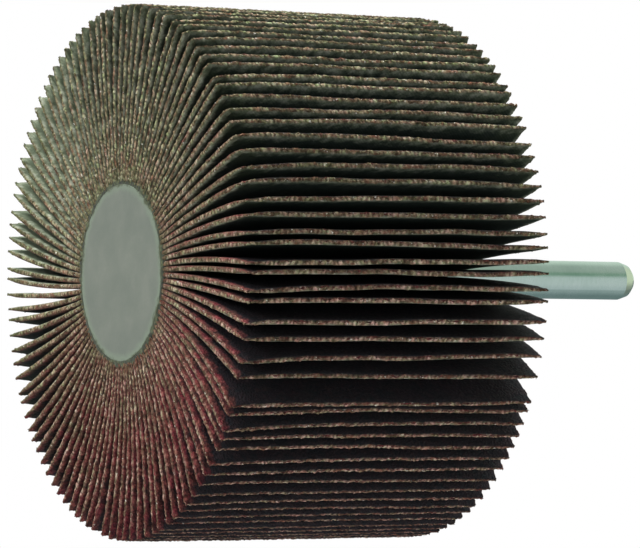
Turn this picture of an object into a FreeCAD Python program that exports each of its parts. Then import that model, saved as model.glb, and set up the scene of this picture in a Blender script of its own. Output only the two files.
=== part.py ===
import FreeCAD, Part
import math
import os
import random

# Mounted flap wheel, in millimetres. Strips of abrasive cloth stand edge on round a resin core that is
# cast about the knurled end of a steel shank, and a thin disc closes the core at the front.
# The wheel stands on its front face: the origin is the middle of that face, and +Z runs up the axis and
# out along the shank. Angles are in degrees about +Z, from +X.

# The wheel and its flaps
wheel_diameter = 80.0
wheel_width = 50.0
flap_count = 108
flaps_per_group = 2
flap_thickness = 0.75
root_clearance = 0.035
front_corner_wear = 0.5

# How the flaps lean: each leaves the core square and curls to one side on its way out
first_flap_deg = 0.85
mean_lean_deg = 4.3
lean_wander_deg = 0.42
lean_seed = 139537
# Where the tips drift aside: the place, how far they are turned there, and how far round it is felt
tip_drifts_deg = (
    (-95.0, 2.0, 20.0),
    (-88.0, -3.0, 48.0),
    (-26.0, -2.9, 11.0),
    (114.0, 3.1, 53.0),
)
# The two widest gaps: the tips just past them are pushed on, less with each flap
wide_gap_places_deg = (-10.0, 63.0)
wide_gap_push_deg = 2.9
wide_gap_reach_count = 1.2

# The front disc and the core
disc_thickness = 0.8
disc_margin = 0.25
disc_edge_bevel = 0.15
back_recess = 1.5
bead_height = 1.2
bead_width = 0.8

# The shank
shank_diameter = 6.0
shank_exposed = 40.0
shank_front_cover = 3.2
tip_chamfer_length = 1.4
tip_chamfer_depth = 0.45
tip_nose_length = 0.7
tip_nose_depth = 0.75
inner_end_chamfer = 0.5
knurl_teeth = 16
knurl_height = 0.15
knurl_length = 38.0
neck_depth = 0.4

tip_radius = wheel_diameter / 2
pitch = 360.0 / flap_count
# Packed side by side, the roots make a full ring, and the core fills it.
core_radius = flap_count * (flap_thickness + root_clearance) / (2 * math.pi)
disc_radius = core_radius - disc_margin
core_front = disc_thickness
core_back = wheel_width - back_recess
bead_top = core_back + bead_height
shank_radius = shank_diameter / 2
shank_end = wheel_width + shank_exposed
shank_start = core_front + shank_front_cover


def vector(x, y, z):
    """A point or a direction."""
    return FreeCAD.Vector(x, y, z)


def line(start, end):
    """A straight edge."""
    return Part.LineSegment(start, end).toShape()


def arc(start, middle, end):
    """A circular edge through three points."""
    return Part.Arc(start, middle, end).toShape()


def turned(edges):
    """The solid that a closed outline in the XZ plane sweeps round the wheel's axis."""
    face = Part.Face(Part.Wire(edges))
    return face.revolve(vector(0, 0, 0), vector(0, 0, 1), 360)


def outline(points):
    """Straight edges through (radius, height) points, closed back to the first."""
    corners = [vector(radius, 0, height) for radius, height in points]
    return [line(a, b) for a, b in zip(corners, corners[1:] + corners[:1])]


def signed_turn(start, end):
    """The shorter way round from one angle to another, in degrees from -180 to 180."""
    return (end - start + 180.0) % 360.0 - 180.0


def tip_drift(place):
    """How far the tip of a flap whose root is at this angle drifts aside, in degrees."""
    drift = 0.0
    for centre, push, reach in tip_drifts_deg:
        drift += push * math.exp(-((signed_turn(centre, place) / reach) ** 2))
    for gap_place in wide_gap_places_deg:
        flaps_past = signed_turn(gap_place, place) / pitch
        if flaps_past > 0:
            drift += wide_gap_push_deg * math.exp(-flaps_past / wide_gap_reach_count)
    return drift


def flap_places():
    """For each flap, the angle of its root and how far its tip is turned from it, in degrees.

    The wander is small enough beside the free space between two tips that no two flaps meet.
    """
    chance = random.Random(lean_seed)
    places = []
    for number in range(flap_count):
        root = first_flap_deg + number * pitch
        wander = lean_wander_deg * chance.uniform(-1.0, 1.0)
        places.append((root, mean_lean_deg + tip_drift(root) + wander))
    return places


def side_arc(bend_centre, side_radius):
    """One face of a flap, seen from the end: an arc about bend_centre, from the core to the rim.

    A point of the arc at angle a lies at bend_centre + side_radius * (sin a, -cos a). Its distance from
    the wheel's axis grows with a, so the angle for a given distance follows from the cosine rule.
    """
    reach = math.hypot(bend_centre.x, bend_centre.y)
    bearing = math.atan2(bend_centre.y, bend_centre.x)

    def angle_at(radius):
        rise = (radius**2 - reach**2 - side_radius**2) / (2 * side_radius * reach)
        return bearing + math.asin(rise)

    def point_at(angle):
        return bend_centre + vector(math.sin(angle), -math.cos(angle), 0) * side_radius

    first = angle_at(core_radius)
    last = angle_at(tip_radius)
    return [point_at(angle) for angle in (first, (first + last) / 2, last)]


def ring_point(start, end):
    """The point midway between two points of a circle about the wheel's axis, on that circle."""
    middle = start + end
    middle.normalize()
    return middle * math.hypot(start.x, start.y)


def flap(lean):
    """One flap whose root lies on the X axis and whose tip is turned by the angle lean."""
    along = tip_radius * math.cos(math.radians(lean)) - core_radius
    across = tip_radius * math.sin(math.radians(lean))
    bend_radius = (along**2 + across**2) / (2 * across)
    bend_centre = vector(core_radius, bend_radius, 0)
    inner = side_arc(bend_centre, bend_radius - flap_thickness / 2)
    outer = side_arc(bend_centre, bend_radius + flap_thickness / 2)
    section = Part.Wire(
        [
            arc(*outer),
            line(outer[-1], inner[-1]),
            arc(*reversed(inner)),
            arc(inner[0], ring_point(inner[0], outer[0]), outer[0]),
        ]
    )
    strip = Part.Face(section).extrude(vector(0, 0, wheel_width))
    return strip.makeChamfer(front_corner_wear, [front_corner(strip)])


def front_corner(strip):
    """The short edge where a flap's tip meets its front edge."""
    front_edges = [e for e in strip.Edges if e.BoundBox.ZMax < 1e-6]
    return max(front_edges, key=lambda e: e.CenterOfMass.x)


def flap_groups():
    """The flaps all round, as groups of neighbours that stay separate solids."""
    flaps = []
    for root, lean in flap_places():
        piece = flap(lean)
        piece.rotate(vector(0, 0, 0), vector(0, 0, 1), root)
        flaps.append(piece)
    starts = range(0, flap_count, flaps_per_group)
    return [Part.makeCompound(flaps[start : start + flaps_per_group]) for start in starts]


def knurl_band(start):
    """A stretch of straight knurling: a star-shaped prism whose teeth rise and fall by knurl_height."""
    corners = []
    for step in range(2 * knurl_teeth):
        angle = math.pi * step / knurl_teeth
        height = knurl_height if step % 2 == 0 else -knurl_height
        radius = shank_radius + height
        corners.append(vector(radius * math.cos(angle), radius * math.sin(angle), start))
    star = Part.Face(Part.makePolygon(corners + corners[:1]))
    return star.extrude(vector(0, 0, knurl_length))


def shank():
    """The steel shank: a blunt-nosed rod whose knurled and necked end is cast into the core.

    Its full diameter starts where the resin ends.
    """
    neck_radius = shank_radius - neck_depth
    knurl_start = shank_start + inner_end_chamfer
    nose_radius = shank_radius - tip_chamfer_depth
    nose_start = shank_end - tip_nose_length
    sides = [
        (0, shank_start),
        (neck_radius - inner_end_chamfer, shank_start),
        (neck_radius, knurl_start),
        (neck_radius, bead_top),
        (shank_radius, bead_top),
        (shank_radius, nose_start - tip_chamfer_length),
        (nose_radius, nose_start),
        (nose_radius - tip_nose_depth, shank_end),
        (0, shank_end),
    ]
    return turned(outline(sides)).fuse(knurl_band(knurl_start))


def resin_core(shank_solid):
    """The cast core: a plain wall for the flap roots, and a bead of resin round the shank's foot.

    The resin is cast round the shank, so the shank's own shape is what is cut out of it.
    """
    sides = [
        (0, core_front),
        (core_radius, core_front),
        (core_radius, core_back),
        (shank_radius + bead_width, core_back),
        (shank_radius, bead_top),
        (0, bead_top),
    ]
    return turned(outline(sides)).cut(shank_solid)


def front_disc():
    """The plain disc that closes the core, flush with the flaps' front edges."""
    disc = Part.makeCylinder(disc_radius, disc_thickness)
    front_edges = [e for e in disc.Edges if e.BoundBox.ZMax < 1e-6 and e.Closed]
    return disc.makeChamfer(disc_edge_bevel, front_edges)


def pieces():
    """Every node of the wheel, by name."""
    shank_solid = shank()
    named = {
        "shank": shank_solid,
        "resin_core": resin_core(shank_solid),
        "front_disc": front_disc(),
    }
    for number, group in enumerate(flap_groups(), start=1):
        named[f"flap_pair_{number:02d}"] = group
    return named


os.makedirs("parts", exist_ok=True)
for name, shape in pieces().items():
    shape.exportStep(f"parts/{name}.step")
    print(name, len(shape.Solids), round(shape.Volume, 3))
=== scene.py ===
import math

import bpy
import numpy as np
from mathutils import Matrix, Vector


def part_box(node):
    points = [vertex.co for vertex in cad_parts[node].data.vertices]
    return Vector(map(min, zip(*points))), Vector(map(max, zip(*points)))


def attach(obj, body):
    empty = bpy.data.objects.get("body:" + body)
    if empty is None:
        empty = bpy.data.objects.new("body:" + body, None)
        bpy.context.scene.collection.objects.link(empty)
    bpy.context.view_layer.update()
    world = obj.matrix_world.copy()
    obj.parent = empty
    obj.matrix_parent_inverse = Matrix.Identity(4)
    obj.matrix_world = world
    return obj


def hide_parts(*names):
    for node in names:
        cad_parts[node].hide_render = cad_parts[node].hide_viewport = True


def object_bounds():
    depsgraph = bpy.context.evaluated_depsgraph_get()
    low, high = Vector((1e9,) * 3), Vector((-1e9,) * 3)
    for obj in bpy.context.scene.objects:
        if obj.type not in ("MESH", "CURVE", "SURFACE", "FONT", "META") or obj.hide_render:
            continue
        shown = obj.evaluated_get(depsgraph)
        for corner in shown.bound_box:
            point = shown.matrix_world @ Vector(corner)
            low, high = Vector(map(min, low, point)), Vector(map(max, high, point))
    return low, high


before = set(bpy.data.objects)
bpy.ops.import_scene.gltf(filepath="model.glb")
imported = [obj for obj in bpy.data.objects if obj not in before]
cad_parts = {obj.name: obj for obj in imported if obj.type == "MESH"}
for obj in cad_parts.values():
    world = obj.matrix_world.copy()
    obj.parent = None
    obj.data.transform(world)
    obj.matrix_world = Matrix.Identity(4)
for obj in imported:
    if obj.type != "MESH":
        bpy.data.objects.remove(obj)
cad_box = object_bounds()

MM = 0.001

# The wheel's own sizes
RIM_RADIUS = cad_box[1][0]
HALF_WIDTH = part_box("flap_pair_01")[1][2] / 2
CORE_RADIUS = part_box("resin_core")[1][0]
DISC_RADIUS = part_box("front_disc")[1][0]

# The camera of the photograph. The wheel's axis lies across the picture, front face to the left.
PICTURE_WIDTH = 640
FOCAL_PIXELS = 4196.4
CAMERA_DISTANCE = 622.5 * MM
AXIS_FROM_VIEW = math.radians(60.69)
CAMERA_ROLL = math.radians(-0.96)
LENS_RIGHT_OF_WHEEL = 29.6 * MM
LENS_BELOW_WHEEL = 0.2 * MM
NEAR_SIDE = math.radians(-30)
PHOTO_UP = NEAR_SIDE - math.pi / 2

# The flaps' cloth
CLOTH_THICKNESS = 0.75 * MM
SHARP_CORNER = 0.35 * MM
WORN_CORNER = 0.8 * MM
WORN_SECTOR = (math.radians(-125), math.radians(-38))
REDDER_SIDE = math.radians(38)
OPEN_SIDE = math.radians(168)
FRONT_STEPS = 110
TIP_STEPS = 200
BACK_STEPS = 80
ROOT_STEPS = 8
CORNER_STEPS = 8
HEM = 0.18 * MM
GRID_INSET = 1.0 * MM
GRID_ALONG = 10
GRID_ACROSS = 18
SURFACE_TOLERANCE = 0.05 * MM

# How the cloth is woven, coated and worn
WEAVE_WAVE = 0.55 * MM
GRAIN_SIZE = 0.34 * MM
KNOT_SPACING = 0.95 * MM
LAYER_SPACING = 0.8 * MM
TIP_RAG = 0.34 * MM
SIDE_RAG = 0.22 * MM
EDGE_FUZZ = 0.2 * MM
ROUNDED_RIM = 0.6
ROOT_FULLNESS = 0.12
ROOT_FULLNESS_REACH = 0.2
CORNER_THINNING = 0.6
THINNING_REACH = 2.6 * MM
FRONT_CURL = 0.75 * MM
CURL_REACH = 7.0 * MM
STRAIGHT_SHARE = 0.7
STRAIGHT_SIDE = math.radians(160)
WAVE_LENGTHS = (64 * MM, 27 * MM, 12 * MM)
WAVE_HEIGHTS = (0.20 * MM, 0.10 * MM, 0.05 * MM)
TWIST = 0.30 * MM

# Loose threads at the cut edges
THREADS_PER_FLAP = 12
THREAD_RINGS = 4
THREAD_SIDES = 3
THREAD_RADIUS = (0.05 * MM, 0.11 * MM)
THREAD_LENGTH = (0.15 * MM, 0.45 * MM)
THREAD_SPREAD = 0.45
THREAD_TAPER = 0.7
THREAD_ROOTED = 0.2 * MM
WHITE_THREAD_SHARE = 0.12

# Resin squeezed out between the disc and the flap roots
RESIN_RING_STEPS = 720
RESIN_RING_INNER = DISC_RADIUS - 0.2 * MM
RESIN_RING_OUTER = CORE_RADIUS + 0.55 * MM

FLOOR_DROP = 0.25 * MM
FLOOR_REACH = 2.5
EVEN_LIGHT = 0.12
chance = np.random.default_rng(80506)


def direction(angle):
    """The unit vector at this angle about +Z, level with the floor."""
    return Vector((math.cos(angle), math.sin(angle), 0))


def make_camera():
    """The photograph's camera: it looks up at the front face from below, rolled so that +Z runs right."""
    near = direction(NEAR_SIDE)
    up = direction(PHOTO_UP)
    shankward = Vector((0, 0, 1))
    right = near * math.cos(AXIS_FROM_VIEW) + shankward * math.sin(AXIS_FROM_VIEW)
    back = near * math.sin(AXIS_FROM_VIEW) - shankward * math.cos(AXIS_FROM_VIEW)
    rolled_right = right * math.cos(CAMERA_ROLL) - up * math.sin(CAMERA_ROLL)
    rolled_up = right * math.sin(CAMERA_ROLL) + up * math.cos(CAMERA_ROLL)
    place = rolled_right * LENS_RIGHT_OF_WHEEL - rolled_up * LENS_BELOW_WHEEL + back * CAMERA_DISTANCE
    data = bpy.data.cameras.new("camera")
    data.lens = FOCAL_PIXELS / PICTURE_WIDTH * data.sensor_width
    data.clip_start = 0.05
    data.clip_end = 20
    camera = bpy.data.objects.new("camera", data)
    turn = Matrix((rolled_right, rolled_up, back)).transposed()
    camera.matrix_world = Matrix.Translation(place) @ turn.to_4x4()
    bpy.context.collection.objects.link(camera)
    bpy.context.scene.camera = camera


def paint(red, green, blue):
    """A colour written in screen values 0 to 255, as the linear colour that shaders take."""
    linear = []
    for value in (red, green, blue):
        share = value / 255
        linear.append(share / 12.92 if share <= 0.04045 else ((share + 0.055) / 1.055) ** 2.4)
    return (*linear, 1.0)


def add(tree, kind, inputs=None, **settings):
    """A new node of this kind. Each input is a socket to link from or a plain value."""
    made = tree.nodes.new(kind)
    for name, value in settings.items():
        setattr(made, name, value)
    for name, value in (inputs or {}).items():
        if isinstance(value, bpy.types.NodeSocket):
            tree.links.new(value, made.inputs[name])
        else:
            made.inputs[name].default_value = value
    return made


def compute(tree, operation, *values):
    """One step of arithmetic on sockets or plain values."""
    return add(tree, "ShaderNodeMath", dict(enumerate(values)), operation=operation).outputs[0]


def product(tree, first, second):
    """Two values multiplied."""
    return compute(tree, "MULTIPLY", first, second)


def split(tree, vector):
    """The X, Y and Z of a vector, by name."""
    return add(tree, "ShaderNodeSeparateXYZ", {"Vector": vector}).outputs


def distance_along(tree, place, way):
    """How far a place lies along a direction."""
    inputs = {0: place, 1: way}
    return add(tree, "ShaderNodeVectorMath", inputs, operation="DOT_PRODUCT").outputs["Value"]


def distance_out(tree, place):
    """How far a place lies from the origin."""
    return add(tree, "ShaderNodeVectorMath", {0: place}, operation="LENGTH").outputs["Value"]


def mix(tree, share, first, second, blend="MIX"):
    """Two colours mixed, or blended another way, by this share of the second."""
    made = add(tree, "ShaderNodeMix", data_type="RGBA", blend_type=blend)
    for socket, value in ((0, share), (6, first), (7, second)):
        if isinstance(value, bpy.types.NodeSocket):
            tree.links.new(value, made.inputs[socket])
        else:
            made.inputs[socket].default_value = value
    return made.outputs[2]


def ramp(tree, value, *stops):
    """Colours laid along a value. Each stop is a place from 0 to 1, then the red, green and blue there."""
    made = add(tree, "ShaderNodeValToRGB", {"Fac": value})
    elements = made.color_ramp.elements
    for element, (position, *shade) in zip(list(elements), (stops[0], stops[-1])):
        element.position = position
        element.color = paint(*shade)
    for position, *shade in stops[1:-1]:
        elements.new(position).color = paint(*shade)
    return made.outputs["Color"]


def between(tree, value, low, high, to_low=0.0, to_high=1.0):
    """A value stretched from one span to another and held at its ends."""
    spans = {"Value": value, "From Min": low, "From Max": high, "To Min": to_low, "To Max": to_high}
    return add(tree, "ShaderNodeMapRange", spans).outputs["Result"]


def noise(tree, place, grain, detail=3.0, roughness=0.6):
    """Fractal noise whose largest blotches are about grain across, in metres."""
    inputs = {"Vector": place, "Scale": 1 / grain, "Detail": detail, "Roughness": roughness}
    return add(tree, "ShaderNodeTexNoise", inputs).outputs["Fac"]


def bump(tree, height, depth, strength=1.0):
    """A normal from a height pattern of this depth in metres."""
    inputs = {"Height": height, "Distance": depth, "Strength": strength}
    return add(tree, "ShaderNodeBump", inputs).outputs["Normal"]


def material(name):
    """A new material with its tree, its shader and the piece's own coordinates."""
    made = bpy.data.materials.new(name)
    made.use_nodes = True
    tree = made.node_tree
    place = add(tree, "ShaderNodeTexCoord").outputs["Object"]
    return made, tree, tree.nodes["Principled BSDF"], place


def finish_shader(tree, shader, colour, roughness, normal, gloss=0.5):
    """Joins a pattern's colour, roughness and normal to the shader, and sets how strongly it reflects."""
    tree.links.new(colour, shader.inputs["Base Color"])
    tree.links.new(roughness, shader.inputs["Roughness"])
    tree.links.new(normal, shader.inputs["Normal"])
    shader.inputs["Specular IOR Level"].default_value = gloss


def attribute(tree, name):
    """A number that the mesh holds at each of its points."""
    return add(tree, "ShaderNodeAttribute", attribute_name=name).outputs["Fac"]


def cloth_place(tree):
    """Each point's place on the flat cloth: X runs from root to tip and Y from front to back."""
    return split(tree, add(tree, "ShaderNodeUVMap", uv_map="cloth").outputs["UV"])


def edge_place(tree):
    """Coordinates for patterns that run along a flap's edges and differ from flap to flap."""
    sheet = cloth_place(tree)
    third = compute(tree, "MULTIPLY_ADD", attribute(tree, "layer"), LAYER_SPACING, attribute(tree, "tone"))
    inputs = {"X": sheet["X"], "Y": sheet["Y"], "Z": third}
    return add(tree, "ShaderNodeCombineXYZ", inputs).outputs["Vector"]


def thread_ends(tree):
    """The ends of the cloth's threads, as soft knots along a cut edge: 1 on a knot, 0 between two.

    They follow a sine wave along the edge, which noise stretches and squeezes.
    """
    place = edge_place(tree)
    parts = split(tree, place)
    run = compute(tree, "ADD", parts["X"], parts["Y"])
    stray = compute(tree, "MULTIPLY_ADD", noise(tree, place, 3.0 * MM, 1.0), 3.0 * MM, run)
    wave = compute(tree, "SINE", product(tree, stray, 2 * math.pi / KNOT_SPACING))
    return between(tree, wave, -1.0, 1.0)


def axis_distance(tree, place):
    """The distance from the wheel's axis, in metres."""
    flat = add(tree, "ShaderNodeVectorMath", {0: place, 1: (1, 1, 0)}, operation="MULTIPLY").outputs[0]
    return distance_out(tree, flat)


def root_distance(tree, place):
    """The distance out from the flap roots, in metres."""
    return compute(tree, "SUBTRACT", axis_distance(tree, place), CORE_RADIUS)


def front_depth(tree, place):
    """The depth behind the wheel's front, in metres."""
    return split(tree, place)["Z"]


def end_depth(tree, place):
    """The depth inside the nearer of the wheel's two ends, in metres."""
    offset = compute(tree, "SUBTRACT", front_depth(tree, place), HALF_WIDTH)
    return compute(tree, "SUBTRACT", HALF_WIDTH, compute(tree, "ABSOLUTE", offset))


def tip_depth(tree, place):
    """The depth inside the wheel's rim, in metres."""
    return compute(tree, "SUBTRACT", RIM_RADIUS, axis_distance(tree, place))


def light_reach_share(tree, place, depth, reach):
    """Painted light and shade: 1 where light reaches the cloth, at no depth, fading to 0 at about this
    reach.
    """
    wander = between(tree, noise(tree, place, 1.5 * MM, 3.0), 0.35, 0.65, -0.3 * reach, 0.3 * reach)
    return between(tree, compute(tree, "ADD", depth, wander), 0.0, reach, 1.0, 0.0)


def root_gaps(tree, place):
    """How much light the gaps between flaps let in: little at the roots and all of it further out."""
    return between(tree, root_distance(tree, place), 0.5 * MM, 8.5 * MM, 0.3, 1.0)


def corner_share(tree, place):
    """1 at the flaps' outer corners, where the painted shade on the faces turns olive green, and 0
    elsewhere.
    """
    outer = between(tree, tip_depth(tree, place), 1 * MM, 6 * MM, 1.0, 0.0)
    return product(tree, outer, light_reach_share(tree, place, end_depth(tree, place), 7 * MM))


def lit_far_share(tree, place):
    """1 at the front of the wheel's far side, where light falls in between the flaps and painted light
    brightens them, and 0 elsewhere.

    That side is on the left in the photograph.
    """
    side = between(tree, distance_along(tree, place, direction(OPEN_SIDE)), 18 * MM, 32 * MM)
    front = between(tree, front_depth(tree, place), 6 * MM, 24 * MM, 1.0, 0.0)
    return product(tree, side, front)


def redder_side(tree, place):
    """How red the cloth is: 0 on the wheel's greener side, 1 on its redder side."""
    wander = between(tree, noise(tree, place, 5.0 * MM, 4.0), 0.38, 0.62, -15 * MM, 15 * MM)
    reach = compute(tree, "ADD", distance_along(tree, place, direction(REDDER_SIDE)), wander)
    patch = between(tree, noise(tree, place, 2.6 * MM, 4.0, 0.65), 0.50, 0.62, 0.0, 0.6)
    return compute(tree, "MAXIMUM", between(tree, reach, -16 * MM, 24 * MM), patch)


def lint_colour(tree, place):
    """The pale colour of frayed cloth, in bright and dull stretches, with rusty patches and white tufts.

    It is tinted green-grey on the wheel's greener side and pinkish on its redder side, and painted shade
    darkens it between the ends of the threads.
    """
    along = edge_place(tree)
    blotches = noise(tree, along, 1.6 * MM, 4.0, 0.65)
    lint = ramp(
        tree,
        blotches,
        (0.36, 80, 72, 64),
        (0.45, 150, 142, 128),
        (0.54, 214, 208, 192),
        (0.64, 255, 254, 246),
    )
    fine = noise(tree, place, 0.32 * MM, 3.0, 0.7)
    lint = mix(tree, between(tree, fine, 0.46, 0.66, 0.0, 0.25), lint, paint(80, 72, 62))
    # Painted shade in the hollows between the thread ends.
    gaps = between(tree, thread_ends(tree), 0.0, 0.7, 0.72, 0.0)
    lint = mix(tree, gaps, lint, paint(66, 58, 50))
    tint = mix(tree, redder_side(tree, place), paint(222, 228, 202), paint(246, 218, 216))
    lint = mix(tree, 1.0, lint, tint, "MULTIPLY")
    hue = noise(tree, along, 0.9 * MM, 2.0)
    hue = ramp(tree, hue, (0.40, 206, 236, 180), (0.50, 255, 250, 235), (0.60, 255, 214, 206))
    lint = mix(tree, 0.6, lint, hue, "MULTIPLY")
    rust = between(tree, noise(tree, along, 2.2 * MM, 4.0, 0.65), 0.54, 0.64, 0.0, 0.6)
    lint = mix(tree, rust, lint, paint(150, 98, 80))
    dull = between(tree, attribute(tree, "tone"), 0.0, 1.0, 0.0, 0.35)
    lint = mix(tree, dull, lint, paint(100, 84, 68))
    tufts = between(tree, noise(tree, place, 0.6 * MM, 2.0), 0.66, 0.72, 0.0, 0.85)
    white_threads = between(tree, attribute(tree, "fray"), 1.4, 1.6)
    return mix(tree, compute(tree, "MAXIMUM", tufts, white_threads), lint, paint(246, 244, 232))


def grain_colour(tree, place):
    """Packed abrasive grains in resin, as their colour and their height.

    They are maroon, with crimson patches and fine dark seams. On the wheel's greener side a grey-brown
    colour hides most of the red.
    """
    inputs = {"Vector": place, "Scale": 1 / GRAIN_SIZE}
    cells = add(tree, "ShaderNodeTexVoronoi", inputs).outputs["Distance"]
    blotches = noise(tree, place, 1.1 * MM, 5.0, 0.7)
    grains = ramp(
        tree,
        blotches,
        (0.34, 54, 32, 32),
        (0.46, 112, 60, 58),
        (0.58, 160, 88, 84),
        (0.70, 204, 146, 132),
    )
    patch = between(tree, noise(tree, place, 3.2 * MM, 3.0), 0.50, 0.60, 0.0, 0.45)
    grains = mix(tree, patch, grains, paint(156, 52, 74))
    greyer = between(tree, redder_side(tree, place), 0.0, 1.0, 0.8, 0.0)
    grains = mix(tree, greyer, grains, paint(112, 100, 82))
    seams = between(tree, cells, 0.3, 0.7, 0.0, 0.5)
    return mix(tree, seams, grains, paint(30, 18, 20)), compute(tree, "SUBTRACT", 1.0, cells)


def cut_edge_material():
    """The cut edge in its two layers: dark grains on the grit side and fuzzy pale cloth on the other.

    Resin has soaked a little way along it from the root.
    """
    made, tree, shader, place = material("cut_edge")
    redder = redder_side(tree, place)
    grains, _ = grain_colour(tree, place)
    # Painted shade: the grains on the cut edge darken away from the wheel's ends.
    light_reach = light_reach_share(tree, place, end_depth(tree, place), 2.0 * MM)
    grains = mix(tree, between(tree, light_reach, 0.0, 1.0, 0.5, 0.0), grains, paint(44, 32, 30))
    wander = between(tree, noise(tree, edge_place(tree), 1.1 * MM, 4.0), 0.35, 0.65, -0.25, 0.25)
    layer = compute(tree, "ADD", attribute(tree, "layer"), wander)
    pale_shift = between(tree, redder, 0.0, 1.0, 0.10, -0.06)
    pale = between(tree, compute(tree, "ADD", layer, pale_shift), 0.08, 0.22)
    colour = mix(tree, pale, grains, lint_colour(tree, place))
    creep = between(tree, noise(tree, place, 1.2 * MM, 3.0, 0.7), 0.3, 0.7, -0.9 * MM, 0.9 * MM)
    reach = compute(tree, "ADD", root_distance(tree, place), creep)
    soaked = between(tree, reach, 0.5 * MM, 2.5 * MM, 0.75, 0.0)
    speckle = between(tree, noise(tree, place, 0.5 * MM), 0.3, 0.7)
    olive = mix(tree, speckle, paint(30, 34, 22), paint(140, 140, 106))
    maroon = mix(tree, speckle, paint(40, 22, 20), paint(134, 92, 74))
    colour = mix(tree, soaked, colour, mix(tree, redder, olive, maroon))
    # An olive green tint on the cut edges near the rim at the lit far front.
    outer = between(tree, tip_depth(tree, place), 2 * MM, 8 * MM, 0.55, 0.0)
    colour = mix(tree, product(tree, outer, lit_far_share(tree, place)), colour, paint(96, 110, 70))
    rough = between(tree, noise(tree, place, 0.6 * MM), 0.3, 0.7, 0.82, 0.98)
    fuzz = noise(tree, place, 0.28 * MM, 4.0, 0.75)
    height = compute(tree, "MULTIPLY_ADD", thread_ends(tree), 0.8, fuzz)
    finish_shader(tree, shader, colour, rough, bump(tree, height, 0.18 * MM), gloss=0.15)
    return made


def grit_material():
    """The working face: maroon grains, painted light at the front and painted shade dark behind, pale at
    the cut edge.
    """
    made, tree, shader, place = material("abrasive_grit")
    grains, height = grain_colour(tree, place)
    # Painted light and shade: the grains stay bright just behind the front, less near the roots, and
    # deeper in between the flaps turn to a painted shade colour.
    light_reach = light_reach_share(tree, place, front_depth(tree, place), 1.2 * MM)
    light_reach = product(tree, light_reach, root_gaps(tree, place))
    # The painted shade colour turns lighter olive at the outer corners on the lit far front.
    lit_corner_share = product(tree, corner_share(tree, place), lit_far_share(tree, place))
    dark = mix(tree, lit_corner_share, paint(32, 36, 40), paint(48, 60, 36))
    grains = mix(tree, between(tree, light_reach, 0.0, 0.9, 0.95, 0.0), grains, dark)
    frayed = between(tree, attribute(tree, "fray"), 0.3, 1.0, 0.0, 0.6)
    colour = mix(tree, frayed, grains, lint_colour(tree, place))
    rough = between(tree, noise(tree, place, 0.4 * MM), 0.3, 0.7, 0.6, 0.9)
    finish_shader(tree, shader, colour, rough, bump(tree, height, 0.15 * MM), gloss=0.2)
    return made


def weave_height(tree):
    """Crossed threads: the product of two sine waves along the cloth's own width and length."""
    sheet = cloth_place(tree)
    turns = 2 * math.pi / WEAVE_WAVE
    waves = [compute(tree, "SINE", product(tree, sheet[axis], turns)) for axis in ("X", "Y")]
    return between(tree, product(tree, *waves), -1.0, 1.0)


def backing_material():
    """The back of the cloth: a grey-green weave, painted light at the wheel's ends and rim and painted
    shade dark inside.
    """
    made, tree, shader, place = material("cloth_backing")
    far = lit_far_share(tree, place)
    threads = weave_height(tree)
    stain = noise(tree, place, 1.6 * MM, 5.0, 0.7)
    cloth = ramp(tree, stain, (0.36, 80, 92, 72), (0.50, 144, 156, 132), (0.62, 196, 204, 184))
    cloth = mix(tree, between(tree, threads, 0.2, 0.8, 0.0, 0.12), cloth, paint(84, 90, 70))
    # Painted light and shade: the weave stays light just inside the wheel's ends and rim, less near the
    # roots and away from the lit far front, and deeper in turns to a painted shade colour.
    ends = light_reach_share(tree, place, end_depth(tree, place), 1.15 * MM)
    ends = product(tree, ends, root_gaps(tree, place))
    ends = product(tree, ends, between(tree, far, 0.0, 1.0, 0.72, 1.0))
    tips = product(tree, light_reach_share(tree, place, tip_depth(tree, place), 1.8 * MM), 0.5)
    light_reach = compute(tree, "MAXIMUM", ends, tips)
    # The painted shade colour is olive at the outer corners and much lighter on the lit far front.
    dark = mix(tree, corner_share(tree, place), paint(34, 44, 42), paint(50, 62, 42))
    dark = mix(tree, far, dark, paint(112, 124, 102))
    cloth = mix(tree, between(tree, light_reach, 0.0, 0.9, 0.95, 0.0), cloth, dark)
    frayed = between(tree, attribute(tree, "fray"), 0.1, 0.9, 0.0, 0.75)
    colour = mix(tree, frayed, cloth, lint_colour(tree, place))
    rough = between(tree, stain, 0.3, 0.7, 0.8, 0.95)
    finish_shader(tree, shader, colour, rough, bump(tree, threads, 0.03 * MM), gloss=0.2)
    return made


def resin_material(name, dark, middle, pale):
    """Cast resin: mottled in three shades, with a dull skin and small pits."""
    made, tree, shader, place = material(name)
    mottle = noise(tree, place, 1.2 * MM, 5.0, 0.7)
    colour = ramp(tree, mottle, (0.34, *dark), (0.50, *middle), (0.66, *pale))
    rough = between(tree, mottle, 0.3, 0.7, 0.38, 0.62)
    pits = noise(tree, place, 0.8 * MM, 4.0, 0.7)
    finish_shader(tree, shader, colour, rough, bump(tree, pits, 0.12 * MM, 0.7))
    return made


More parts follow.
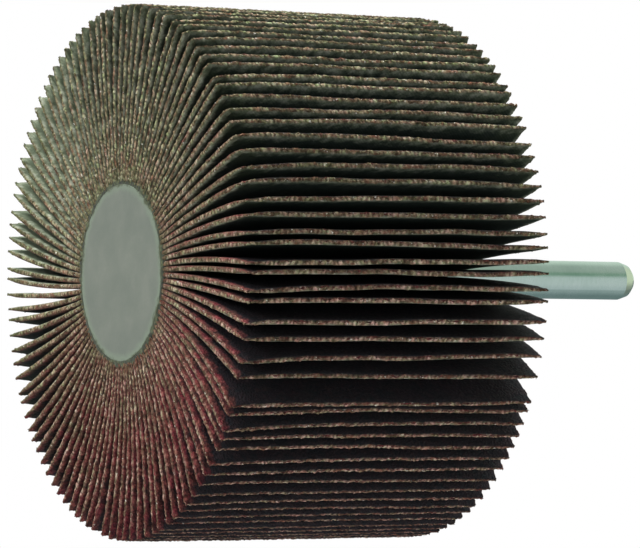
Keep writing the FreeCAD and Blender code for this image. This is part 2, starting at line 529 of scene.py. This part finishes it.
def disc_material():
    """The bare front disc: flat grey with a green cast, faintly mottled, and a little lighter at its rim.

    Its very edge is darker olive in places.
    """
    made, tree, shader, place = material("grey_disc")
    mottle = noise(tree, place, 6.0 * MM, 4.0, 0.55)
    fine = noise(tree, place, 0.5 * MM, 3.0, 0.6)
    colour = ramp(tree, mottle, (0.34, 113, 121, 111), (0.50, 121, 128, 118), (0.66, 129, 135, 125))
    colour = mix(tree, between(tree, fine, 0.35, 0.65, 0.0, 0.12), colour, paint(110, 118, 106))
    wander = between(tree, noise(tree, place, 1.1 * MM, 4.0, 0.7), 0.36, 0.64, -0.3 * MM, 0.3 * MM)
    depth = compute(tree, "SUBTRACT", DISC_RADIUS, axis_distance(tree, place))
    depth = compute(tree, "SUBTRACT", depth, wander)
    rim = between(tree, depth, 0.55 * MM, 1.35 * MM, 0.7, 0.0)
    colour = mix(tree, rim, colour, paint(130, 145, 126))
    drift = between(tree, noise(tree, place, 7.0 * MM, 2.0), 0.35, 0.65, -0.5 * MM, 0.3 * MM)
    dark_edge = between(tree, compute(tree, "SUBTRACT", depth, drift), 0.15 * MM, 0.65 * MM, 0.9, 0.0)
    colour = mix(tree, dark_edge, colour, paint(78, 84, 62))
    rough = between(tree, mottle, 0.3, 0.7, 0.5, 0.66)
    finish_shader(tree, shader, colour, rough, bump(tree, fine, 0.03 * MM, 0.6), gloss=0.35)
    return made


def steel_material():
    """Zinc-plated steel: a pale green-grey metal with fine turning lines and faint clouding."""
    made, tree, shader, place = material("plated_steel")
    stretched = add(tree, "ShaderNodeMapping", {"Vector": place, "Scale": (0.15, 0.15, 1.0)})
    lines = noise(tree, stretched.outputs[0], 0.16 * MM, 3.0, 0.7)
    cloud = noise(tree, place, 7.0 * MM, 3.0)
    colour = ramp(tree, cloud, (0.30, 196, 208, 200), (0.50, 206, 217, 209), (0.70, 216, 224, 218))
    colour = mix(tree, between(tree, lines, 0.4, 0.7, 0.0, 0.25), colour, paint(176, 190, 180))
    rough = between(tree, cloud, 0.3, 0.7, 0.2, 0.3)
    finish_shader(tree, shader, colour, rough, bump(tree, lines, 0.01 * MM, 0.5))
    shader.inputs["Metallic"].default_value = 1.0
    return made


def mesh_piece(name, points, triangles, finishes, finish_of=None):
    """A smooth mesh at the origin from arrays of points and triangles, riding on the wheel."""
    data = bpy.data.meshes.new(name)
    data.vertices.add(len(points))
    data.vertices.foreach_set("co", points.astype(np.float32).ravel())
    data.loops.add(triangles.size)
    data.loops.foreach_set("vertex_index", triangles.astype(np.int32).ravel())
    data.polygons.add(len(triangles))
    data.polygons.foreach_set("loop_start", np.arange(0, triangles.size, 3, dtype=np.int32))
    data.polygons.foreach_set("use_smooth", np.full(len(triangles), True))
    for finish in finishes:
        data.materials.append(finish)
    if finish_of is not None:
        data.polygons.foreach_set("material_index", finish_of.astype(np.int32))
    data.update()
    piece = bpy.data.objects.new(name, data)
    bpy.context.collection.objects.link(piece)
    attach(piece, "root")
    return piece


def grid_triangles(rows, columns, wrap=False):
    """Triangles over a grid of rows by columns points, counter-clockwise with rows as x, columns as y."""
    steps = columns if wrap else columns - 1
    row, column = np.meshgrid(np.arange(rows - 1), np.arange(steps), indexing="ij")
    here = row * columns + column
    beside = row * columns + (column + 1) % columns
    lower = np.stack([here, here + columns, beside + columns], -1)
    upper = np.stack([here, beside + columns, beside], -1)
    return np.concatenate([lower.reshape(-1, 3), upper.reshape(-1, 3)])


def zip_rings(outer, outer_at, inner, inner_at):
    """Triangles between two closed rings, given each point's share of the way round.

    The steps of both rings are taken in order of the share at which they end, and each step makes one
    triangle with the point that the other ring has reached.
    """
    ends = np.concatenate([np.append(outer_at[1:], 1.0), np.append(inner_at[1:], 1.0)])
    order = np.argsort(ends, kind="stable")
    is_outer = order < len(outer)
    outer_done = np.cumsum(is_outer) - is_outer
    inner_done = np.cumsum(~is_outer) - ~is_outer
    here = outer[outer_done % len(outer)]
    there = inner[inner_done % len(inner)]
    next_outer = outer[(outer_done + 1) % len(outer)]
    next_inner = inner[(inner_done + 1) % len(inner)]
    return np.stack([here, np.where(is_outer, next_outer, next_inner), there], -1)


def strip_triangles(first, second):
    """Triangles between two closed rings with the same number of points."""
    first_next = np.roll(first, -1)
    second_next = np.roll(second, -1)
    lower = np.stack([first, second, second_next], -1)
    upper = np.stack([first, second_next, first_next], -1)
    return np.concatenate([lower, upper])


def cloth_outline(length, width, front_corner):
    """The rim of a flat flap, and at each point its outward direction and how ragged it is.

    The flap lies in a plane whose first axis runs from root to tip and whose second runs from the front
    edge to the back. The rim starts at the root, runs along the front edge, round the worn corner, along
    the tip, round the back corner, back to the root and down it.
    """

    def side(start, end, steps, outward, rag):
        share = np.linspace(0, 1, steps, endpoint=False)[:, None]
        points = np.array(start) * (1 - share) + np.array(end) * share
        return points, np.tile(outward, (steps, 1)), np.full(steps, rag)

    def corner(centre, radius, first, rag):
        angle = first + np.linspace(0, math.pi / 2, CORNER_STEPS, endpoint=False)
        outward = np.stack([np.cos(angle), np.sin(angle)], -1)
        return np.array(centre) + radius * outward, outward, np.full(CORNER_STEPS, rag)

    back_corner = SHARP_CORNER
    pieces = [
        side((0, 0), (length - front_corner, 0), FRONT_STEPS, (0.0, -1.0), SIDE_RAG),
        corner((length - front_corner, front_corner), front_corner, -math.pi / 2, TIP_RAG),
        side((length, front_corner), (length, width - back_corner), TIP_STEPS, (1.0, 0.0), TIP_RAG),
        corner((length - back_corner, width - back_corner), back_corner, 0.0, TIP_RAG),
        side((length - back_corner, width), (0, width), BACK_STEPS, (0.0, 1.0), SIDE_RAG),
        side((0, width), (0, 0), ROOT_STEPS, (-1.0, 0.0), 0.0),
    ]
    return [np.concatenate(part) for part in zip(*pieces)]


def share_round(points, low, high):
    """Each point's share of the way round the box low to high, found from its nearest place on the box."""
    near = np.clip(points, low, high)
    share = (near - low) / (high - low)
    front = near[:, 1] == low[1]
    tip = (near[:, 0] == high[0]) & ~front
    back = (near[:, 1] == high[1]) & ~front & ~tip
    quarters = [share[:, 0], 1 + share[:, 1], 3 - share[:, 0]]
    return np.select([front, tip, back], quarters, 4 - share[:, 1]) / 4


def cloth_layout(length, width, front_corner):
    """The points and triangles of one face of a flat flap, from its rim inwards.

    A fine rim and a hem of as many points carry the frayed edge, and a coarse grid fills the middle.
    """
    rim, outward, rag = cloth_outline(length, width, front_corner)
    hem = rim - outward * np.where(outward[:, 0] < 0, 0, HEM)[:, None]
    hem = np.clip(hem, [SURFACE_TOLERANCE, HEM], [length - HEM, width - HEM])
    low = np.array([GRID_INSET, GRID_INSET])
    high = np.array([length - GRID_INSET, width - GRID_INSET])
    along = np.linspace(low[0], high[0], GRID_ALONG + 1)
    across = np.linspace(low[1], high[1], GRID_ACROSS + 1)
    grid = np.stack(np.meshgrid(along, across, indexing="ij"), -1).reshape(-1, 2)
    count = len(rim)
    rim_at = np.arange(count)
    hem_at = rim_at + count
    number = np.arange(len(grid)).reshape(GRID_ALONG + 1, GRID_ACROSS + 1)
    border = np.concatenate([number[:-1, 0], number[-1, :-1], number[:0:-1, -1], number[0, :0:-1]])
    hem_share = share_round(hem, low, high)
    border_share = share_round(grid[border], low, high)
    triangles = [
        strip_triangles(hem_at, rim_at),
        zip_rings(hem_at, hem_share, border + 2 * count, border_share),
        grid_triangles(GRID_ALONG + 1, GRID_ACROSS + 1) + 2 * count,
    ]
    return {
        "points": np.concatenate([rim, hem, grid]),
        "outward": outward,
        "rag": rag,
        "rim_count": count,
        "triangles": np.concatenate(triangles),
    }


def flap_triangles(layout):
    """Triangles of a whole flap: its grit face, its backing face and the cut edge between them."""
    count = layout["rim_count"]
    face_size = len(layout["points"])
    grit = layout["triangles"]
    backing = grit[:, ::-1] + face_size
    grit_rim = np.arange(count)
    middle = grit_rim + 2 * face_size
    backing_rim = grit_rim + face_size
    edge = np.concatenate([strip_triangles(grit_rim, middle), strip_triangles(middle, backing_rim)])
    finish = np.repeat([0, 1, 2], [len(grit), len(backing), len(edge)])
    return np.concatenate([grit, backing, edge]), finish


def smooth_run(count, step):
    """Random values from -1 to 1 for a ring of points, joined by straight stretches of step points."""
    knots = max(4, count // step)
    values = chance.uniform(-1, 1, knots)
    at = np.arange(count) * knots / count
    low = at.astype(int)
    share = at - low
    return values[low % knots] * (1 - share) + values[(low + 1) % knots] * share


def straightness(root_angle):
    """How straight the flap at this angle runs, from 0 for a full curl up to STRAIGHT_SHARE."""
    return STRAIGHT_SHARE * max(0.0, math.cos(root_angle - STRAIGHT_SIDE)) ** 0.5


def cloth_rise(points, length, width, curl):
    """How far the cloth stands off its even curve at each point, towards its backing side.

    Long waves along the width, a twist and the curl of the front corner, all growing with the square of
    the distance from the root.
    """
    out = (points[:, 0] / length) ** 2
    rise = np.zeros(len(points))
    for wave_length, height in zip(WAVE_LENGTHS, WAVE_HEIGHTS):
        phase = chance.uniform(0, 2 * math.pi)
        size = height * chance.uniform(0.3, 1.0)
        rise += size * np.sin(2 * math.pi * points[:, 1] / wave_length + phase)
    rise += TWIST * chance.uniform(-1, 1) * (points[:, 1] / width - 0.5)
    rise += curl * chance.uniform(0.7, 1.2) * np.exp(-points[:, 1] / CURL_REACH)
    return rise * out


def rotated(x, y, angle):
    """The place x, y turned by an angle about the wheel's axis."""
    c, s = math.cos(angle), math.sin(angle)
    return x * c - y * s, x * s + y * c


def bent(points, off, root_angle, lean, sizes):
    """Flat flap points laid on the flap's arc, off the arc by this much towards the backing side.

    The arc reaches the rim turned by the lean. It leaves the core square at the root's angle, or set
    towards the tip where flaps run straighter.
    """
    core_radius, tip_radius, _ = sizes
    along = tip_radius * math.cos(lean) - core_radius
    across = tip_radius * math.sin(lean)
    start = straightness(root_angle) * math.atan2(across, along)
    half_turn = math.atan2(across, along) - start
    bend_radius = math.hypot(along, across) / (2 * math.sin(half_turn))
    turned = start + points[:, 0] / (tip_radius - core_radius) * 2 * half_turn
    x = core_radius - bend_radius * math.sin(start) + (bend_radius - off) * np.sin(turned)
    y = bend_radius * math.cos(start) - (bend_radius - off) * np.cos(turned)
    return np.stack([*rotated(x, y, root_angle), points[:, 1]], -1)


def flap_points(layout, root_angle, lean, sizes):
    """The points of one flap: grit face, backing face and the middle of the cut edge.

    The rim is bitten inwards by ragged amounts, and the hem by half as much. Each face lies half the
    cloth's thickness to its side, less at the rim and at the two outer corners, and the fuzz pushes the
    rim to and fro. With each point come its place on the flat cloth, its fray, its layer from grit to
    backing, and the flap's own tone.
    """
    core_radius, tip_radius, width = sizes
    length = tip_radius - core_radius
    count = layout["rim_count"]
    flat = layout["points"].copy()
    bite = 0.5 * np.abs(smooth_run(count, 5)) + 0.5 * np.abs(smooth_run(count, 1))
    bite = (bite * layout["rag"])[:, None] * layout["outward"]
    flat[:count] -= bite
    flat[count : 2 * count] -= 0.5 * bite
    rise = cloth_rise(flat, length, width, FRONT_CURL * (1 - straightness(root_angle)))
    half = np.full(len(flat), CLOTH_THICKNESS / 2)
    share_out = flat[:count, 0] / length
    half[:count] *= ROUNDED_RIM + ROOT_FULLNESS * np.exp(-share_out / ROOT_FULLNESS_REACH)
    for corner in ((length, 0), (length, width)):
        gap = np.hypot(flat[:, 0] - corner[0], flat[:, 1] - corner[1])
        half *= 1 - CORNER_THINNING * np.exp(-((gap / THINNING_REACH) ** 2))
    loose = np.where(layout["rag"] > 0, EDGE_FUZZ * (0.6 + 0.4 * share_out), 0)
    faces = []
    for side in (-1, 1):
        off = rise + side * half
        off[:count] += loose * (0.4 * chance.uniform(-1, 1, count) + 0.8 * smooth_run(count, 3))
        faces.append(bent(flat, off, root_angle, lean, sizes))
    middle = flat[:count] + bite * chance.uniform(0, 0.8, (count, 1))
    off = rise[:count] + loose * chance.uniform(-1, 1, count)
    faces.append(bent(middle, off, root_angle, lean, sizes))
    fray = np.zeros(len(flat))
    fray[:count] = 1
    fray[count : 2 * count] = 0.3
    return {
        "points": np.concatenate(faces),
        "flat": np.concatenate([flat, flat, middle]),
        "fray": np.concatenate([fray, fray, np.ones(count)]),
        "layer": np.repeat([0.0, 1.0, 0.5], [len(flat), len(flat), count]),
        "tone": np.full(2 * len(flat) + count, chance.uniform(0, 1)),
    }


def thread_points(bases, outward):
    """Loose threads: thin three-sided tubes that leave the cut edge, bend aside and taper to an end.

    The centre line runs straight out, plus a sideways part that grows with the square of the way along.
    """
    total = len(bases)
    share = np.linspace(0, 1, THREAD_RINGS)[None, :, None]
    reach = chance.uniform(*THREAD_LENGTH, (total, 1, 1))
    heading = outward + chance.normal(0, THREAD_SPREAD, (total, 3))
    heading /= np.linalg.norm(heading, axis=1, keepdims=True)
    sideways = np.cross(heading, chance.normal(0, 1, (total, 3)))
    sideways /= np.linalg.norm(sideways, axis=1, keepdims=True)
    third = np.cross(heading, sideways)
    line = bases[:, None] + heading[:, None] * reach * share
    line = line + sideways[:, None] * reach * chance.uniform(-0.5, 0.5, (total, 1, 1)) * share**2
    angle = (np.arange(THREAD_SIDES) * 2 * math.pi / THREAD_SIDES)[None, :, None]
    spokes = np.cos(angle) * sideways[:, None] + np.sin(angle) * third[:, None]
    radius = chance.uniform(*THREAD_RADIUS, (total, 1, 1)) * (1 - THREAD_TAPER * share)
    points = line[:, :, None] + spokes[:, None] * radius[:, :, None]
    return points.reshape(-1, 3)


def thread_triangles():
    """Triangles of one thread's tube, with a triangle to close each end."""
    tube = grid_triangles(THREAD_RINGS, THREAD_SIDES, wrap=True)
    first = np.arange(THREAD_SIDES)[::-1]
    last = np.arange(THREAD_SIDES) + (THREAD_RINGS - 1) * THREAD_SIDES
    return np.concatenate([tube[:, ::-1], first[None], last[None]])


def flap_threads(layout, points, root_angle):
    """The points of a flap's loose threads, each rooted at a random place on the ragged rim."""
    ragged = np.flatnonzero(layout["rag"] > 0)
    picks = chance.choice(ragged, THREADS_PER_FLAP)
    middle = points[2 * len(layout["points"]) + picks]
    outward = layout["outward"][picks]
    heading = np.stack([*rotated(outward[:, 0], 0.0, root_angle), outward[:, 1]], -1)
    return thread_points(middle - heading * THREAD_ROOTED, heading)


def dressed_flap(layout, root_angle, lean, sizes):
    """One flap's points and then its threads' points, with the numbers that belong to each point."""
    flap = flap_points(layout, root_angle, lean, sizes)
    threads = flap_threads(layout, flap["points"], root_angle)
    is_white = chance.uniform(0, 1, THREADS_PER_FLAP) < WHITE_THREAD_SHARE
    loose = {
        "points": threads,
        "flat": np.zeros((len(threads), 2)),
        "fray": 1.0 + np.repeat(is_white, THREAD_RINGS * THREAD_SIDES),
        "layer": np.ones(len(threads)),
        "tone": np.full(len(threads), flap["tone"][0]),
    }
    return {key: np.concatenate([flap[key], loose[key]]) for key in flap}


def dressed_triangles(layout):
    """Triangles of one flap and then of its threads, and the finish of each."""
    cloth, finish = flap_triangles(layout)
    cloth_points = 2 * len(layout["points"]) + layout["rim_count"]
    starts = cloth_points + THREAD_RINGS * THREAD_SIDES * np.arange(THREADS_PER_FLAP)[:, None, None]
    threads = (thread_triangles() + starts).reshape(-1, 3)
    return np.concatenate([cloth, threads]), np.append(finish, np.full(len(threads), 2))


def node_points(name):
    """The points of a CAD node's mesh."""
    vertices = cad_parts[name].data.vertices
    points = np.empty(3 * len(vertices), dtype=np.float32)
    vertices.foreach_get("co", points)
    return points.astype(float).reshape(-1, 3)


def flap_places(points, core_radius, tip_radius):
    """The root angle and lean of each of two neighbouring flaps, from the points of their CAD node.

    The two roots meet halfway between their outer sides, and the widest gap parts the two tips.
    """
    radius = np.hypot(points[:, 0], points[:, 1])
    angle = np.arctan2(points[:, 1], points[:, 0])
    middle = np.angle(np.exp(1j * angle).mean())
    angle = np.angle(np.exp(1j * (angle - middle)))
    at_root = np.sort(angle[radius < core_radius + SURFACE_TOLERANCE])
    at_tip = np.sort(angle[radius > tip_radius - SURFACE_TOLERANCE])
    widest = np.diff(at_tip).argmax()

    def middles(around, parting):
        sides = around[around < parting], around[around > parting]
        return [(side[0] + side[-1]) / 2 for side in sides]

    roots = middles(at_root, (at_root[0] + at_root[-1]) / 2)
    tips = middles(at_tip, (at_tip[widest] + at_tip[widest + 1]) / 2)
    return [(middle + root, tip - root) for root, tip in zip(roots, tips)]


def set_attribute(piece, name, values):
    """Stores one number for each point of a mesh."""
    layer = piece.data.attributes.new(name, "FLOAT", "POINT")
    layer.data.foreach_set("value", values.astype(np.float32))


def set_cloth_map(piece, flats):
    """Stores each point's place on the flat cloth as the UV map of the weave, in metres."""
    corners = np.empty(len(piece.data.loops), dtype=np.int32)
    piece.data.loops.foreach_get("vertex_index", corners)
    layer = piece.data.uv_layers.new(name="cloth")
    layer.data.foreach_set("uv", flats[corners].astype(np.float32).ravel())


def make_flaps(finishes):
    """Every pair of flaps, each replacing its CAD node. Those in the worn sector have rounder corners."""
    names = sorted(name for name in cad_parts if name.startswith("flap_pair"))
    cloud = np.concatenate([node_points(name) for name in names])
    radius = np.hypot(cloud[:, 0], cloud[:, 1])
    core_radius, tip_radius, width = radius.min(), radius.max(), cloud[:, 2].max()
    wheel = (core_radius, tip_radius, width)
    sharp = cloth_layout(tip_radius - core_radius, width, SHARP_CORNER)
    worn = cloth_layout(tip_radius - core_radius, width, WORN_CORNER)
    triangles, finish = dressed_triangles(sharp)
    for name in names:
        flaps = []
        for root_angle, lean in flap_places(node_points(name), core_radius, tip_radius):
            layout = worn if WORN_SECTOR[0] < root_angle < WORN_SECTOR[1] else sharp
            flaps.append(dressed_flap(layout, root_angle, lean, wheel))
        pair = {key: np.concatenate([flap[key] for flap in flaps]) for key in flaps[0]}
        starts = len(flaps[0]["points"]) * np.arange(len(flaps))[:, None, None]
        faces = (triangles + starts).reshape(-1, 3)
        finish_of = np.tile(finish, len(flaps))
        piece = mesh_piece(name.replace("flap_pair", "flaps"), pair["points"], faces, finishes, finish_of)
        for key in ("fray", "layer", "tone"):
            set_attribute(piece, key, pair[key])
        set_cloth_map(piece, pair["flat"])
        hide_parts(name)


def ring_values(middle, swing, steps_per_knot):
    """A length for each step round a ring, wandering about its middle value."""
    wander = 0.5 * smooth_run(RESIN_RING_STEPS, steps_per_knot) + 0.5 * smooth_run(RESIN_RING_STEPS, 2)
    return middle + swing * wander


def make_resin_ring(finish):
    """Resin squeezed out round the disc: an uneven closed ring, low on both sides and highest between.

    Its section is a polygon of eight corners that runs from the disc's rim over the front edges of the
    flaps and back through the flap roots.
    """
    inner = ring_values(RESIN_RING_INNER, 0.2 * MM, 9)
    outer = ring_values(RESIN_RING_OUTER, 0.7 * MM, 7)
    crest = ring_values(0.05 * MM, 0.05 * MM, 3)
    shares = (0.0, 0.03, 0.25, 0.55, 0.85, 1.0, 0.9, 0.3)
    heights = (0.08 * MM, 0.01 * MM, 0.0, 0.01 * MM, 0.06 * MM, 0.25 * MM, 0.7 * MM, 0.7 * MM)
    turn = 2 * math.pi * np.arange(RESIN_RING_STEPS) / RESIN_RING_STEPS
    rings = []
    for share, height in zip(shares, heights):
        radius = inner * (1 - share) + outer * share
        rings.append(np.stack([radius * np.cos(turn), radius * np.sin(turn), height + crest], -1))
    points = np.concatenate(rings)
    number = np.arange(len(points)).reshape(len(shares), RESIN_RING_STEPS)
    ring_pairs = zip(number, np.roll(number, -1, axis=0))
    triangles = np.concatenate([strip_triangles(first, second) for first, second in ring_pairs])
    piece = mesh_piece("squeezed_resin", points, triangles, [finish])


def floor_material():
    """Pale and matt, and whiter to the view further away. From below, view and light pass through it."""
    made, tree, shader, place = material("floor")
    shader.inputs["Base Color"].default_value = (0.86, 0.86, 0.86, 1)
    shader.inputs["Roughness"].default_value = 0.9
    shader.inputs["Emission Color"].default_value = (1, 1, 1, 1)
    seen = add(tree, "ShaderNodeLightPath").outputs["Is Camera Ray"]
    glow = product(tree, seen, between(tree, distance_out(tree, place), 0.15, 0.7, 0.35, 1.0))
    tree.links.new(glow, shader.inputs["Emission Strength"])
    clear = add(tree, "ShaderNodeBsdfTransparent")
    below = add(tree, "ShaderNodeNewGeometry").outputs["Backfacing"]
    both = add(tree, "ShaderNodeMixShader", {0: below, 1: shader.outputs[0], 2: clear.outputs[0]})
    tree.links.new(both.outputs[0], tree.nodes["Material Output"].inputs["Surface"])
    return made


def make_floor():
    """A plain pale floor just under the wheel, which keeps the wheel's shadow."""
    corners = [(-1, -1), (1, -1), (1, 1), (-1, 1)]
    data = bpy.data.meshes.new("floor")
    points = [(x * FLOOR_REACH, y * FLOOR_REACH, -FLOOR_DROP) for x, y in corners]
    data.from_pydata(points, [], [(0, 1, 2, 3)])
    data.materials.append(floor_material())
    floor = bpy.data.objects.new("floor", data)
    bpy.context.collection.objects.link(floor)
    floor.visible_diffuse = False
    floor.visible_glossy = False
    floor.visible_transmission = False
    floor.visible_shadow = False


def area_light(name, place, size, power):
    """A soft square white lamp that faces the wheel's middle and isn't seen itself, in mirrors either."""
    data = bpy.data.lights.new(name, "AREA")
    data.shape = "SQUARE"
    data.size = size
    data.energy = power
    lamp = bpy.data.objects.new(name, data)
    lamp.location = place
    aim = Vector((0, 0, HALF_WIDTH)) - Vector(place)
    lamp.rotation_mode = "QUATERNION"
    lamp.rotation_quaternion = aim.to_track_quat("-Z", "Y")
    lamp.visible_camera = False
    lamp.visible_glossy = False
    bpy.context.collection.objects.link(lamp)


def make_lights():
    """A key lamp from the photograph's upper left, a front lamp, and soft fills from every other side."""
    near = direction(NEAR_SIDE)
    up = direction(PHOTO_UP)
    high = Vector((0, 0, 1))
    area_light("key_lamp", up * 0.9 - near * 0.4 - high * 0.5, 0.3, 10.5)
    area_light("front_lamp", up * 0.5 - near * 0.15 - high * 0.9, 0.25, 5.0)
    area_light("near_fill", near * 1.0 - up * 0.1 - high * 0.2, 0.5, 2.4)
    area_light("low_fill", near * 0.3 - up * 1.0 - high * 0.2, 0.4, 4.2)
    area_light("back_softbox", up * 0.9 + high * 0.55, 0.9, 9.0)
    area_light("overhead_softbox", high * 1.2 + near * 0.1, 0.8, 6.0)


def mirrored_panels(tree):
    """What polished steel reflects: pale and grey panels in a ring round the shank, and a pale one above.

    The ring is laid out by the angle about +Z, from the far side through the photograph's underside, the
    near side and its top, and back to the far side. Below it lies a second ring of plainer greys.
    """
    ray = add(tree, "ShaderNodeTexCoord").outputs["Generated"]
    upward, nearward = [distance_along(tree, ray, direction(way)) for way in (PHOTO_UP, NEAR_SIDE)]
    angle = compute(tree, "ARCTAN2", upward, nearward)
    round_share = between(tree, angle, -math.pi, math.pi)
    ring = ramp(
        tree,
        round_share,
        (0.00, 120, 140, 140),
        (0.21, 118, 138, 140),
        (0.30, 156, 174, 176),
        (0.36, 188, 202, 206),
        (0.42, 204, 216, 218),
        (0.55, 202, 216, 216),
        (0.58, 122, 158, 138),
        (0.61, 122, 158, 138),
        (0.64, 168, 186, 176),
        (0.76, 176, 192, 184),
        (0.83, 214, 232, 220),
        (1.00, 228, 244, 234),
    )
    low_ring = ramp(
        tree,
        round_share,
        (0.00, 236, 236, 238),
        (0.13, 250, 250, 252),
        (0.17, 128, 130, 134),
        (0.25, 146, 148, 152),
        (0.29, 254, 254, 255),
        (0.46, 246, 246, 248),
        (0.50, 150, 152, 156),
        (0.62, 128, 130, 134),
        (0.66, 254, 254, 255),
        (0.86, 246, 246, 248),
        (0.90, 160, 162, 166),
        (1.00, 236, 236, 238),
    )
    rise = split(tree, ray)["Z"]
    ring = mix(tree, between(tree, rise, 0.0, 0.3), low_ring, ring)
    above = mix(tree, between(tree, angle, -1.4, -0.2), paint(130, 138, 130), paint(232, 242, 214))
    return mix(tree, between(tree, rise, 0.7, 0.85), ring, above)


def make_world():
    """A white surround for the view, grey panels for reflections, and a weak even light."""
    world = bpy.data.worlds.new("surround")
    world.use_nodes = True
    tree = world.node_tree
    rays = add(tree, "ShaderNodeLightPath").outputs
    seen = compute(tree, "MAXIMUM", rays["Is Camera Ray"], rays["Is Transmission Ray"])
    even = (EVEN_LIGHT, EVEN_LIGHT, EVEN_LIGHT, 1)
    lit = mix(tree, rays["Is Glossy Ray"], even, mirrored_panels(tree))
    white = (1, 1, 1, 1)
    tree.links.new(mix(tree, seen, lit, white), tree.nodes["Background"].inputs["Color"])
    bpy.context.scene.world = world


def give(name, finish):
    """Gives a CAD node its finish."""
    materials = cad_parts[name].data.materials
    materials.clear()
    materials.append(finish)


make_camera()
make_world()
make_lights()
make_floor()
make_flaps([grit_material(), backing_material(), cut_edge_material()])
make_resin_ring(resin_material("olive_resin", (14, 20, 12), (48, 56, 36), (108, 116, 84)))
give("front_disc", disc_material())
give("resin_core", resin_material("brown_resin", (58, 48, 36), (98, 84, 64), (142, 126, 100)))
give("shank", steel_material())

bpy.context.scene.view_settings.view_transform = "Standard"
